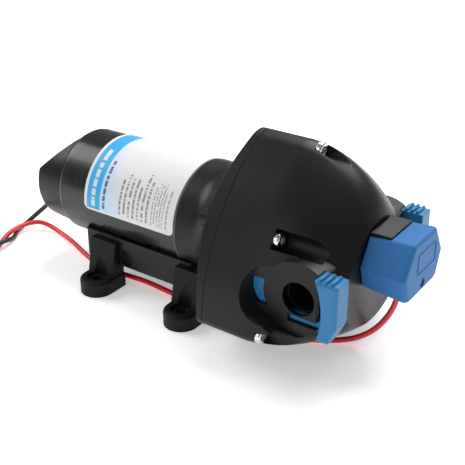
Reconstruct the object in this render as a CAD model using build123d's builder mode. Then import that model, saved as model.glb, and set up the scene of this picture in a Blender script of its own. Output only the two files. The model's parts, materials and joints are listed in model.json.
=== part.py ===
from build123d import *
from math import cos, hypot, pi, radians, sin, sqrt, tan
import os

# Caravan water pump, in millimetres. +X runs from the motor to the pump head, +Z is up, and
# the origin is on the floor in the middle of the four fixing holes.

# Shared places and fits
axis_height = 43.0
running_fit = 0.05
clear_gap = 0.3
fit_gap = 0.2
overrun = 60.0

# Motor can and its label
can_radius = 28.0
can_length = 78.0
can_wall = 1.6
can_shoulder = 2.5
can_front = 18.5
label_start = 19.5
label_length = 58.0
label_thickness = 0.25
label_gap = 0.1
label_corner = 3.0
label_arc = 186.5

# Rear cover
rear_cover_length = 18.5
rear_cover_radius = 26.5
rear_cover_end_radius = 25.0
rear_cover_wall = 1.8
rear_cover_edge = 2.0
rear_cover_flat = 9.0
rear_cover_seam = 0.8

# Motor works
shaft_radius = 3.0
rear_bearing_radius = 8.0
rear_bearing_width = 5.0
front_bearing_radius = 9.5
front_bearing_width = 6.0
bearing_boss_wall = 2.0
end_plate_thickness = 8.0
magnet_thickness = 4.0
magnet_length = 42.0
magnet_arc = 130
armature_gap = 0.8
armature_length = 34.0
armature_slot = 2.4
armature_slot_depth = 6.0
armature_slots = 12
winding_length = 8.0
winding_radius = 19.0
winding_edge = 2.5
commutator_radius = 8.0
commutator_length = 10.0
commutator_slot = 0.6
card_thickness = 2.0
card_bore = 12.0
brush_width = 5.0
brush_height = 4.0
brush_length = 8.0
brush_spring_radius = 1.6
motor_screw_radius = 2.0
motor_screw_circle = 21.0
motor_screw_head = 3.6
motor_screw_head_height = 2.4

# Gasket and drive housing
gasket_thickness = 1.0
gasket_radius = 28.5
neck_radius = 28.7
neck_length = 8.0
flare_length = 21.7
flange_thickness = 3.3
housing_floor = 4.0
throat_radius = 25.5
throat_length = 24.0
# Shares of the flare's length, and of the way from the neck's radius to the rim's
flare_length_shares = (0.30, 0.484, 0.668, 0.853, 1.0)
flare_radius_shares = (0.04, 0.125, 0.30, 0.53, 1.0)

# Head outline, looking along the axis
head_top = 52.2
head_top_radius = 12.0
head_side_radius = 92.0
corner_out = 46.0
corner_down = 23.0
corner_radius = 5.5
bottom_bulge = 10.0
head_wall = 3.0
head_straight = 20.5
head_dome = 40.0
dome_radius = 46.0
# Change of each size for each millimetre that the outline is drawn in
top_drop_share = 1.2
top_radius_share = 0.5
corner_radius_share = 0.7
side_radius_share = 2.3
corner_draw_share = 1.85
bulge_draw_share = 1 / 3

# Housing screws
screw_top = 49.0
mid_screw_out = 33.4
mid_screw_up = 18.2
low_screw_out = 46.8
low_screw_down = 23.8
bottom_screw_down = 33.2
screw_seat = 28.2
screw_radius = 2.0
screw_head_radius = 3.8
screw_head_height = 2.6
screw_socket_radius = 1.7
screw_recess_radius = 4.7
screw_boss_radius = 4.0
screw_boss_length = 8.5

# Cam, wobble plate, diaphragm and pistons
tilt_angle = 3.0
cam_hub_radius = 8.0
cam_hub_length = 6.0
cam_journal_radius = 5.0
cam_bearing_radius = 9.5
cam_bearing_width = 8.0
wobble_centre = 9.0
wobble_hub_radius = 12.0
wobble_radius = 23.0
wobble_web = 2.3
diaphragm_radius = 28.5
diaphragm_thickness = 1.2
land_thickness = 3.0
land_radius = 8.0
land_edge = 0.8
piston_count = 3
piston_circle = 15.0
piston_radius = 7.0
piston_thickness = 3.0
piston_screw_radius = 1.6
piston_screw_head = 3.0
piston_screw_head_height = 1.4

# Valve plate and valves
valve_plate_thickness = 13.3
chamber_radius = 8.6
chamber_floor = 4.0
seal_rim = 3.0
inlet_valve_radius = 4.2
valve_thickness = 1.0
valve_stem_radius = 1.0
valve_hole_radius = 0.9
valve_hole_circle = 2.6
inlet_valve_shift = 3.0
outlet_valve_radius = 9.5
outlet_hole_circle = 8.0
plenum_radius = 13.0
plenum_wall = 2.5
plenum_seal_thickness = 2.5

# Ports and their clips
port_station = 44.3
port_drop = 2.5
port_radius = 8.0
port_boss_radius = 17.5
port_boss_face = 41.6
port_floor = 21.0
port_boss_front = 11.2
port_waterway = 5.5
port_seal_thickness = 2.4
port_seal_radius = 7.4
clip_inner_face = 36.4
clip_thickness = 3.2
clip_outer_radius = 12.0
clip_inner_radius = 8.75
clip_rear_band = 5.8
clip_reach = 24.3
clip_tab_start = 9.7
clip_tab_length = 11.3
clip_tab_outer_face = 46.4
clip_tab_up = 14.4
clip_tab_down = 14.2
clip_waist = 3.6
clip_tab_edge = 1.5
clip_rib = 1.4
rear_window_top = 4.5
rear_window_bottom = 8.3
low_window_back = 5.0
low_window_top = 8.7
port_flat_depth = 14.0
port_flat_slope = 12.0

# Pressure switch
cover_gap = 0.6
cover_length = 21.6
cover_wall = 1.8
cover_top = 21.8
cover_top_out = 11.5
cover_wide_out = 20.0
cover_wide_up = 8.0
cover_low_out = 15.9
cover_low_down = 4.4
cover_bottom_out = 12.6
cover_bottom_down = 5.8
cover_back_shrink = 1.6
cover_edge = 2.0
notch_length = 10.0
notch_out = 10.5
cover_hole_radius = 2.2
cover_hole_down = 1.2
cover_screw_radius = 1.2
cover_screw_depth = 3.0
cover_boss_wall = 0.9
switch_centre_up = 8.0
switch_body_length = 14.0
sensing_radius = 2.0
switch_diaphragm_radius = 6.0
switch_diaphragm_thickness = 1.2
plunger_radius = 4.0
plunger_disc = 1.5
plunger_stem_radius = 1.6
plunger_length = 5.5
plunger_travel = 1.0
button_radius = 1.0
button_length = 2.0
microswitch_width = 12.0
microswitch_height = 6.0
switch_screw_radius = 1.5
switch_screw_head = 2.8
switch_screw_head_height = 1.8
switch_screw_out = 13.0
switch_screw_length = 12.0
switch_screw_post = 3.6

# Base plate and feet
base_half_width = 26.5
base_top_down = 14.5
base_bottom_down = 30.0
base_start = 42.5
base_edge = 2.0
base_slot_length = 20.0
base_slot_depth = 1.2
base_recess_back = 15.0
base_recess_up = 5.2
base_recess_radius = 4.4
base_recess_depth = 1.5
hole_spacing_x = 55.5
hole_spacing_y = 71.0
foot_hole_radius = 2.5
foot_washer_radius = 5.0
foot_washer_depth = 1.2
foot_end_radius = 9.0
foot_thickness = 8.0
foot_stem_width = 16.5
foot_grip_up = 13.0
foot_grip = 2.6
foot_flare = 6.5
foot_edge = 1.5

# Leads
wire_radius = 1.4
grommet_radius = 2.6
grommet_length = 4.0
grommet_collar = 3.6
grommet_collar_length = 1.2
strip_radius = 0.7
strip_length = 9.0
supply_exit_x = 124.5
return_exit_down = 17.0
return_exit_out = 2.0
arc_share = 0.45

# Stations along the axis
can_rear = can_front - can_length
cover_end = can_rear - rear_cover_length
label_rear = can_rear + label_start
housing_rear = can_front + gasket_thickness
neck_front = housing_rear + neck_length
flange_rear = neck_front + flare_length
parting = flange_rear + flange_thickness
dome_start = parting + head_straight
head_front = dome_start + head_dome
screw_plane = parting + screw_seat
port_x = parting + port_station
port_z = axis_height - port_drop
cover_back = head_front + cover_gap
cover_front = cover_back + cover_length
wobble_x = parting - wobble_centre
valve_back = parting + diaphragm_thickness
valve_front = valve_back + valve_plate_thickness
can_bore = can_radius - can_wall
armature_radius = can_bore - magnet_thickness - armature_gap

motor_line = Axis((0, 0, axis_height), (1, 0, 0))
profile_plane = Plane(origin=(0, 0, axis_height), x_dir=(1, 0, 0), z_dir=(0, -1, 0))


def across(station):
    """A plane square to the motor's axis: its x is +Y, its y is up, and it faces the head."""
    return Plane(origin=(station, 0, axis_height), x_dir=(0, 1, 0), z_dir=(1, 0, 0))


def tilted(distance):
    """A plane square to the cam's tilted journal, a distance forward of the wobble centre."""
    forward = Vector(cos(radians(tilt_angle)), 0, sin(radians(tilt_angle)))
    centre = Vector(wobble_x, 0, axis_height) + forward * distance
    return Plane(origin=centre, x_dir=(0, 1, 0), z_dir=forward)


def sideways(side, distance):
    """A plane that faces out of the port on one side: its x is +X and its y is up or down."""
    origin = (port_x, side * distance, port_z)
    return Plane(origin=origin, x_dir=(1, 0, 0), z_dir=(0, side, 0))


def finish_piece(builder, name):
    """Label a finished piece and write its STEP file."""
    builder.part.label = name
    export_step(builder.part, f"parts/{name}.step")


def turned(points):
    """Revolve a closed outline of (station, radius) points about the motor's axis."""
    with BuildSketch(profile_plane) as profile:
        with BuildLine():
            Polyline(*points, close=True)
        make_face()
    revolve(profile.sketch, axis=motor_line)


def ring(plane, outer, inner, length):
    """A ring that stands on a plane."""
    with BuildSketch(plane) as profile:
        Circle(outer)
        Circle(inner, mode=Mode.SUBTRACT)
    extrude(profile.sketch, amount=length)


def peg(plane, radius, length, mode=Mode.ADD):
    """A round peg, or with Mode.SUBTRACT a round hole, from a plane along its normal."""
    with BuildSketch(plane) as profile:
        Circle(radius)
    extrude(profile.sketch, amount=length, mode=mode)


def block(plane, left, right, low, high, length, mode=Mode.ADD):
    """A block on a plane, from its left to its right and from its low to its high side."""
    with BuildSketch(plane) as profile:
        with Locations(((left + right) / 2, (low + high) / 2)):
            Rectangle(right - left, high - low)
    extrude(profile.sketch, amount=length, mode=mode)


os.makedirs("parts", exist_ok=True)

# Motor can: a deep drawn cup, closed at the back round the rear bearing

with BuildPart() as motor_can:
    turned([
        (can_rear, shaft_radius + clear_gap),
        (can_rear, can_radius),
        (can_front, can_radius),
        (can_front, can_bore),
        (can_rear + can_wall, can_bore),
        (can_rear + can_wall, rear_bearing_radius + bearing_boss_wall),
        (can_rear + can_wall + rear_bearing_width, rear_bearing_radius + bearing_boss_wall),
        (can_rear + can_wall + rear_bearing_width, rear_bearing_radius),
        (can_rear + can_wall, rear_bearing_radius),
        (can_rear + can_wall, shaft_radius + clear_gap),
    ])
    rim = motor_can.edges().filter_by(GeomType.CIRCLE).group_by(Axis.X)[0].sort_by(SortBy.RADIUS)[-1]
    fillet(rim, can_shoulder)
finish_piece(motor_can, "motor_can")

with BuildPart() as motor_label:
    label_start_plane = profile_plane.rotated((-(label_arc / 2), 0, 0))
    with BuildSketch(label_start_plane):
        with Locations((label_rear + label_length / 2, can_radius + label_gap)):
            Rectangle(label_length, label_thickness, align=(Align.CENTER, Align.MIN))
    revolve(axis=motor_line, revolution_arc=label_arc)
    short_edges = motor_label.edges().filter_by(lambda edge: edge.length < 2 * label_thickness)
    fillet(short_edges, label_corner)
finish_piece(motor_label, "motor_label")

# Rear cover: a cap whose top slopes down from the can to a flat end


def cap(radius, end_radius, start, end, drop):
    """A round cap whose top is cut off along the slope, lowered by drop."""
    with BuildPart() as shape:
        turned([(start, 0), (start, radius), (end, end_radius), (end, 0)])
        with BuildSketch(profile_plane.offset(-overrun)):
            with BuildLine():
                Polyline(
                    (can_rear - rear_cover_seam, radius + overrun),
                    (can_rear - rear_cover_seam, rear_cover_radius - rear_cover_seam - drop),
                    (cover_end, rear_cover_flat - drop),
                    (cover_end - overrun, rear_cover_flat - drop),
                    (cover_end - overrun, radius + overrun),
                    close=True,
                )
            make_face()
        extrude(amount=2 * overrun, mode=Mode.SUBTRACT)
    return shape


with BuildPart() as rear_cover:
    add(cap(rear_cover_radius, rear_cover_end_radius, can_rear, cover_end, 0).part)
    outer_edges = rear_cover.edges().filter_by(
        lambda edge: edge.bounding_box().min.X < can_rear - 2 * rear_cover_seam
    )
    fillet(outer_edges, rear_cover_edge)
    add(
        cap(
            rear_cover_radius - rear_cover_wall,
            rear_cover_end_radius - rear_cover_wall,
            can_rear,
            cover_end + rear_cover_wall,
            rear_cover_wall,
        ).part,
        mode=Mode.SUBTRACT,
    )
    grommet_plane = Plane(
        origin=(cover_end, return_exit_out, axis_height - return_exit_down),
        x_dir=(0, 1, 0),
        z_dir=(1, 0, 0),
    )
    peg(grommet_plane, grommet_radius, rear_cover_wall, Mode.SUBTRACT)
finish_piece(rear_cover, "rear_cover")

# Motor works, from the back forwards

bearing_back = can_rear + can_wall
card_back = bearing_back + rear_bearing_width + clear_gap
commutator_back = card_back
winding_back = commutator_back + commutator_length
core_back = winding_back + winding_length
core_front = core_back + armature_length
end_plate_back = can_front - end_plate_thickness
magnet_back = core_back + (armature_length - magnet_length) / 2

with BuildPart() as rear_bearing:
    ring(across(bearing_back), rear_bearing_radius, shaft_radius + running_fit, rear_bearing_width)
finish_piece(rear_bearing, "rear_bearing")

with BuildPart() as field_magnets:
    with BuildSketch(profile_plane.rotated((90 - magnet_arc / 2, 0, 0))):
        with Locations((magnet_back + magnet_length / 2, can_bore - magnet_thickness / 2)):
            Rectangle(magnet_length, magnet_thickness)
    revolve(axis=motor_line, revolution_arc=magnet_arc)
    with BuildSketch(profile_plane.rotated((-90 - magnet_arc / 2, 0, 0))):
        with Locations((magnet_back + magnet_length / 2, can_bore - magnet_thickness / 2)):
            Rectangle(magnet_length, magnet_thickness)
    revolve(axis=motor_line, revolution_arc=magnet_arc)
finish_piece(field_magnets, "field_magnets")

with BuildPart() as armature_core:
    ring(across(core_back), armature_radius, shaft_radius, armature_length)
    with BuildSketch(across(core_back)):
        with PolarLocations(armature_radius - armature_slot_depth / 2, armature_slots):
            Rectangle(armature_slot_depth + 2 * armature_gap, armature_slot)
    extrude(amount=armature_length, mode=Mode.SUBTRACT)
finish_piece(armature_core, "armature_core")

with BuildPart() as armature_windings:
    ring(across(winding_back), winding_radius, shaft_radius, winding_length)
    ring(across(core_front), winding_radius, shaft_radius, winding_length)
    big_rims = armature_windings.edges().filter_by(
        lambda edge: edge.geom_type == GeomType.CIRCLE and edge.radius > winding_radius - winding_edge
    )
    fillet(big_rims, winding_edge)
finish_piece(armature_windings, "armature_windings")

with BuildPart() as commutator:
    ring(across(commutator_back), commutator_radius, shaft_radius, commutator_length)
    with BuildSketch(across(commutator_back)):
        with PolarLocations(commutator_radius, armature_slots):
            Rectangle(2 * commutator_slot, commutator_slot)
    extrude(amount=commutator_length, mode=Mode.SUBTRACT)
finish_piece(commutator, "commutator")

with BuildPart() as brush_card:
    ring(across(card_back), can_bore, card_bore, card_thickness)
finish_piece(brush_card, "brush_card")

brush_x = card_back + card_thickness + brush_width / 2
brush_face = commutator_radius + clear_gap
with BuildPart() as brushes:
    for side in (-1, 1):
        with BuildSketch(Plane(origin=(brush_x, side * (brush_face + brush_length), axis_height),
                               x_dir=(1, 0, 0), z_dir=(0, -side, 0))):
            Rectangle(brush_width, brush_height)
        extrude(amount=brush_length + brush_face / 2)
    peg(across(card_back), brush_face, 2 * brush_width + card_thickness, Mode.SUBTRACT)
finish_piece(brushes, "brushes")

with BuildPart() as brush_springs:
    for side in (-1, 1):
        spring_plane = Plane(origin=(brush_x, side * (brush_face + brush_length), axis_height),
                             x_dir=(1, 0, 0), z_dir=(0, side, 0))
        peg(spring_plane, brush_spring_radius, can_bore - brush_face - brush_length - fit_gap)
finish_piece(brush_springs, "brush_springs")

cam_back = housing_rear + housing_floor + clear_gap
shaft_front = cam_back + cam_hub_length + cam_bearing_width
with BuildPart() as motor_shaft:
    peg(across(bearing_back), shaft_radius, shaft_front - bearing_back)
finish_piece(motor_shaft, "motor_shaft")

with BuildPart() as motor_end_plate:
    ring(across(end_plate_back), can_bore, shaft_radius + clear_gap, end_plate_thickness)
    peg(across(can_front - front_bearing_width), front_bearing_radius, front_bearing_width,
        Mode.SUBTRACT)
    with BuildSketch(across(end_plate_back)):
        with PolarLocations(motor_screw_circle, 2):
            Circle(motor_screw_radius)
    extrude(amount=end_plate_thickness, mode=Mode.SUBTRACT)
finish_piece(motor_end_plate, "motor_end_plate")

with BuildPart() as front_bearing:
    ring(across(can_front - front_bearing_width), front_bearing_radius, shaft_radius + running_fit,
         front_bearing_width)
finish_piece(front_bearing, "front_bearing")

with BuildPart() as motor_gasket:
    ring(across(can_front), gasket_radius, front_bearing_radius, gasket_thickness)
    with BuildSketch(across(can_front)):
        with PolarLocations(motor_screw_circle, 2):
            Circle(motor_screw_radius)
    extrude(amount=gasket_thickness, mode=Mode.SUBTRACT)
finish_piece(motor_gasket, "motor_gasket")

motor_screw_seat = housing_rear + housing_floor
with BuildPart() as motor_screws:
    with BuildSketch(across(end_plate_back)):
        with PolarLocations(motor_screw_circle, 2):
            Circle(motor_screw_radius)
    extrude(amount=motor_screw_seat - end_plate_back)
    with BuildSketch(across(motor_screw_seat)):
        with PolarLocations(motor_screw_circle, 2):
            Circle(motor_screw_head)
    extrude(amount=motor_screw_head_height)
finish_piece(motor_screws, "motor_screws")

# Head outline: six tangent arcs, drawn in towards the front to make the dome


def tangent_centre(first, first_radius, second, second_radius, radius):
    """Centre of the large circle that holds both small circles and touches them inside."""
    reach_first = radius - first_radius
    reach_second = radius - second_radius
    gap = second - first
    span = gap.length
    along = (reach_first ** 2 - reach_second ** 2 + span ** 2) / (2 * span)
    aside = sqrt(reach_first ** 2 - along ** 2)
    direction = gap.normalized()
    return first + direction * along + Vector(direction.Y, -direction.X) * aside


def arc_middle(centre, radius, start, end):
    """The point half way round an arc."""
    return centre + ((start - centre).normalized() + (end - centre).normalized()).normalized() * radius


def head_section(station, inset):
    """The head's closed outline at a station, drawn in by inset."""
    top_radius = head_top_radius + top_radius_share * inset
    corner = corner_radius + corner_radius_share * inset
    side_radius = head_side_radius - side_radius_share * inset
    draw = 1 - corner_draw_share * inset / hypot(corner_out, corner_down)
    bulge = bottom_bulge - bulge_draw_share * inset
    apex = Vector(0, head_top - top_drop_share * inset)
    top_centre = apex - Vector(0, top_radius)
    corner_centre = Vector(corner_out * draw, -corner_down * draw)
    side_centre = tangent_centre(corner_centre, corner, top_centre, top_radius, side_radius)
    if side_centre.X > corner_centre.X:
        side_centre = tangent_centre(top_centre, top_radius, corner_centre, corner, side_radius)
    bottom = corner_centre.Y - corner - bulge
    bottom_centre = Vector(
        0, (corner_centre.X ** 2 + corner_centre.Y ** 2 - (bottom + corner) ** 2) / (2 * bulge)
    )
    top_point = top_centre + (top_centre - side_centre).normalized() * top_radius
    side_point = corner_centre + (corner_centre - side_centre).normalized() * corner
    low_point = corner_centre + (corner_centre - bottom_centre).normalized() * corner
    side_middle = arc_middle(side_centre, side_radius, top_point, side_point)
    corner_middle = arc_middle(corner_centre, corner, side_point, low_point)

    def flip(point):
        return Vector(-point.X, point.Y)

    with BuildSketch(across(station)) as section:
        with BuildLine():
            ThreePointArc(flip(top_point), apex, top_point)
            ThreePointArc(top_point, side_middle, side_point)
            ThreePointArc(side_point, corner_middle, low_point)
            ThreePointArc(low_point, Vector(0, bottom), flip(low_point))
            ThreePointArc(flip(low_point), flip(corner_middle), flip(side_point))
            ThreePointArc(flip(side_point), flip(side_middle), flip(top_point))
        make_face()
    return section.sketch


def dome_inset(distance):
    """How far the outline is drawn in at a distance forward of the dome's start."""
    return dome_radius - sqrt(dome_radius ** 2 - distance ** 2)


dome_shares = (0.0, 0.18, 0.36, 0.54, 0.70, 0.84, 0.94, 1.0)
screw_places = [
    (0, screw_top),
    (mid_screw_out, mid_screw_up),
    (-mid_screw_out, mid_screw_up),
    (low_screw_out, -low_screw_down),
    (-low_screw_out, -low_screw_down),
    (0, -bottom_screw_down),
]

# Drive housing: neck, flared bell and rim, hollow for the cam and the wobble plate

with BuildPart() as housing_prism:
    extrude(head_section(housing_rear, 0), amount=parting - housing_rear)

with BuildPart() as drive_housing:
    rim_radius = hypot(corner_out, corner_down) + corner_radius
    flare_points = [
        (neck_front + flare_length * along, neck_radius + (rim_radius - neck_radius) * out)
        for along, out in zip(flare_length_shares, flare_radius_shares)
    ]
    with BuildSketch(profile_plane):
        with BuildLine():
            Spline((neck_front, neck_radius), *flare_points)
            Polyline(
                flare_points[-1],
                (parting, rim_radius),
                (parting, 0),
                (housing_rear, 0),
                (housing_rear, neck_radius),
                (neck_front, neck_radius),
            )
        make_face()
    revolve(axis=motor_line)
    add(housing_prism.part, mode=Mode.INTERSECT)
    extrude(head_section(flange_rear, 0), amount=flange_thickness)
    with BuildSketch(across(flange_rear - screw_boss_length)):
        with Locations((mid_screw_out, mid_screw_up), (-mid_screw_out, mid_screw_up)):
            Circle(screw_boss_radius)
    extrude(amount=screw_boss_length)
    peg(across(parting - throat_length), throat_radius, throat_length, Mode.SUBTRACT)
    peg(across(housing_rear + housing_floor), motor_screw_circle + motor_screw_head + fit_gap,
        parting - housing_rear - housing_floor, Mode.SUBTRACT)
    peg(across(housing_rear), front_bearing_radius, housing_floor, Mode.SUBTRACT)
    with BuildSketch(across(housing_rear)):
        with PolarLocations(motor_screw_circle, 2):
            Circle(motor_screw_radius)
    extrude(amount=housing_floor, mode=Mode.SUBTRACT)
    with BuildSketch(across(flange_rear)):
        with Locations(*screw_places):
            Circle(screw_radius)
    extrude(amount=flange_thickness, mode=Mode.SUBTRACT)
finish_piece(drive_housing, "drive_housing")

# Cam with a tilted journal, its bearing, and the wobble plate that the bearing drives

with BuildPart() as eccentric_cam:
    peg(across(cam_back), cam_hub_radius, cam_hub_length)
    peg(tilted(cam_back + cam_hub_length / 2 - wobble_x), cam_journal_radius,
        wobble_x - cam_back - cam_hub_length / 2 + cam_bearing_width / 2)
    peg(across(cam_back), shaft_radius, shaft_front - cam_back, Mode.SUBTRACT)
finish_piece(eccentric_cam, "eccentric_cam")

with BuildPart() as cam_bearing:
    ring(tilted(-cam_bearing_width / 2), cam_bearing_radius, cam_journal_radius, cam_bearing_width)
finish_piece(cam_bearing, "cam_bearing")

seat_level = diaphragm_thickness / 2 + wobble_centre - land_thickness / 2
web_front = seat_level - land_thickness / 2
web_back = web_front - wobble_web
with BuildPart() as wobble_plate:
    ring(tilted(-cam_bearing_width / 2), wobble_hub_radius, cam_bearing_radius + running_fit,
         cam_bearing_width / 2 + web_back)
    peg(tilted(web_back), wobble_radius, wobble_web)
    with BuildSketch(tilted(web_front)):
        with PolarLocations(piston_circle, piston_count, start_angle=90):
            Circle(piston_radius)
    extrude(amount=seat_level - web_front)
    with BuildSketch(tilted(web_back)):
        with PolarLocations(piston_circle, piston_count, start_angle=90):
            Circle(piston_screw_radius)
    extrude(amount=seat_level - web_back, mode=Mode.SUBTRACT)
finish_piece(wobble_plate, "wobble_plate")

with BuildPart() as diaphragm:
    peg(across(parting), diaphragm_radius, diaphragm_thickness)
    with BuildSketch(tilted(seat_level - land_thickness)):
        with PolarLocations(piston_circle, piston_count, start_angle=90):
            Circle(land_radius - land_edge)
    extrude(amount=3 * land_thickness, mode=Mode.SUBTRACT)
    with BuildSketch(tilted(seat_level)):
        with PolarLocations(piston_circle, piston_count, start_angle=90):
            Circle(land_radius)
            Circle(piston_screw_radius, mode=Mode.SUBTRACT)
    extrude(amount=land_thickness)
finish_piece(diaphragm, "diaphragm")

piston_back = seat_level + land_thickness
with BuildPart() as pistons:
    with BuildSketch(tilted(piston_back)):
        with PolarLocations(piston_circle, piston_count, start_angle=90):
            Circle(piston_radius)
            Circle(piston_screw_radius, mode=Mode.SUBTRACT)
    extrude(amount=piston_thickness)
finish_piece(pistons, "pistons")

with BuildPart() as piston_screws:
    with BuildSketch(tilted(web_back)):
        with PolarLocations(piston_circle, piston_count, start_angle=90):
            Circle(piston_screw_radius)
    extrude(amount=piston_back + piston_thickness - web_back)
    with BuildSketch(tilted(piston_back + piston_thickness)):
        with PolarLocations(piston_circle, piston_count, start_angle=90):
            Circle(piston_screw_head)
    extrude(amount=piston_screw_head_height)
finish_piece(piston_screws, "piston_screws")

# Valve plate with a chamber for each piston, and its rubber valves

chamber_front = valve_front - chamber_floor
inlet_circle = piston_circle + inlet_valve_shift
with BuildPart() as valve_plate:
    peg(across(valve_back), diaphragm_radius, valve_plate_thickness)
    with BuildSketch(across(valve_back)):
        with PolarLocations(piston_circle, piston_count, start_angle=90):
            Circle(chamber_radius)
    extrude(amount=chamber_front - valve_back, mode=Mode.SUBTRACT)
    with BuildSketch(across(chamber_front)):
        with PolarLocations(inlet_circle, piston_count, start_angle=90):
            Circle(valve_stem_radius)
            with PolarLocations(valve_hole_circle, 4):
                Circle(valve_hole_radius)
        with PolarLocations(outlet_hole_circle, piston_count, start_angle=90):
            Circle(valve_hole_radius)
        Circle(valve_stem_radius)
    extrude(amount=chamber_floor, mode=Mode.SUBTRACT)
finish_piece(valve_plate, "valve_plate")

with BuildPart() as inlet_valves:
    with BuildSketch(across(chamber_front - valve_thickness)):
        with PolarLocations(inlet_circle, piston_count, start_angle=90):
            Circle(inlet_valve_radius)
    extrude(amount=valve_thickness)
    with BuildSketch(across(chamber_front)):
        with PolarLocations(inlet_circle, piston_count, start_angle=90):
            Circle(valve_stem_radius)
    extrude(amount=chamber_floor)
finish_piece(inlet_valves, "inlet_valves")

with BuildPart() as outlet_valve:
    peg(across(valve_front), outlet_valve_radius, valve_thickness)
    peg(across(chamber_front), valve_stem_radius, chamber_floor)
finish_piece(outlet_valve, "outlet_valve")

with BuildPart() as plenum_seal:
    ring(across(valve_front), plenum_radius, plenum_radius - plenum_wall, plenum_seal_thickness)
finish_piece(plenum_seal, "plenum_seal")

# Front housing: a hollow dome with two side ports, and slots for their clips


cavity_back = valve_front + plenum_seal_thickness
cavity_front = head_front - head_wall
slot_floor = clip_inner_face - fit_gap
slot_roof = clip_inner_face + clip_thickness + fit_gap
slot_half = clip_outer_radius + clear_gap
outer_arc = clip_outer_radius - clip_reach
inner_arc = clip_rear_band + clip_inner_radius - clip_reach
switch_screw_places = [(switch_screw_out, switch_centre_up), (-switch_screw_out, switch_centre_up)]

cavity_sections = []
for share in dome_shares:
    station = cavity_back + (cavity_front - cavity_back) * share
    cavity_sections.append(head_section(station, head_wall + dome_inset(max(0, station - dome_start))))
with BuildPart() as head_cavity:
    loft(cavity_sections)
    peg(across(valve_front), diaphragm_radius - seal_rim, plenum_seal_thickness)
    with BuildSketch(across(cavity_back)):
        with Locations(*screw_places):
            Circle(screw_recess_radius + head_wall / 2)
    extrude(amount=cavity_front - cavity_back, mode=Mode.SUBTRACT)
    with BuildSketch(across(cavity_back)):
        Circle(plenum_radius)
        Circle(plenum_radius - plenum_wall, mode=Mode.SUBTRACT)
    extrude(amount=cavity_front - cavity_back, mode=Mode.SUBTRACT)
    with BuildSketch(across(head_front - switch_screw_length - head_wall)):
        with Locations(*switch_screw_places):
            Circle(switch_screw_post)
    extrude(amount=switch_screw_length, mode=Mode.SUBTRACT)
    for side in (-1, 1):
        peg(sideways(side, port_floor - head_wall), port_radius + head_wall, overrun, Mode.SUBTRACT)
        block(sideways(side, slot_floor - head_wall), -clip_reach - 2 * head_wall, overrun,
              -port_boss_radius - 2 * head_wall, port_boss_radius + 2 * head_wall, overrun, Mode.SUBTRACT)
    peg(sideways(1, 0), port_waterway + head_wall / 2, port_floor, Mode.SUBTRACT)

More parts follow.
